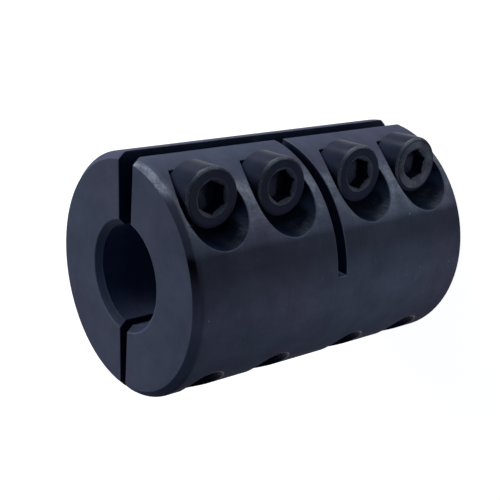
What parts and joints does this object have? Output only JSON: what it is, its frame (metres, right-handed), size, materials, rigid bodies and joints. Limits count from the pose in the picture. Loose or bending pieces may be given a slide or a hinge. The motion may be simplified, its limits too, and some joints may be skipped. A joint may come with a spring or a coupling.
{
  "type": "rigid shaft coupling",
  "caption": "Cylindrical clamping sleeve, split lengthwise into halves drawn together by recessed cap screws, that joins shafts end to end in a rigid line.",
  "frame": {"origin": "centre of the bore on the end face that the coupling stands on", "axes": "+Z along the bore to the other end face; +X from the joint towards the front half; +Y towards the wide side of the joint, beside which the front half's screw heads lie"},
  "size_m": [0.034, 0.0342, 0.05],
  "materials": {
    "half_steel": "black oxide over turned and milled steel, satin",
    "screw_steel": "black oxide over rolled and forged steel, satin"
  },
  "bodies": {
    "root": {"front_half": "half_steel", "rear_half": "half_steel", "front_screw_1": "screw_steel", "front_screw_2": "screw_steel", "front_screw_3": "screw_steel", "front_screw_4": "screw_steel", "rear_screw_1": "screw_steel", "rear_screw_2": "screw_steel", "rear_screw_3": "screw_steel", "rear_screw_4": "screw_steel"}
  },
  "joints": []
}
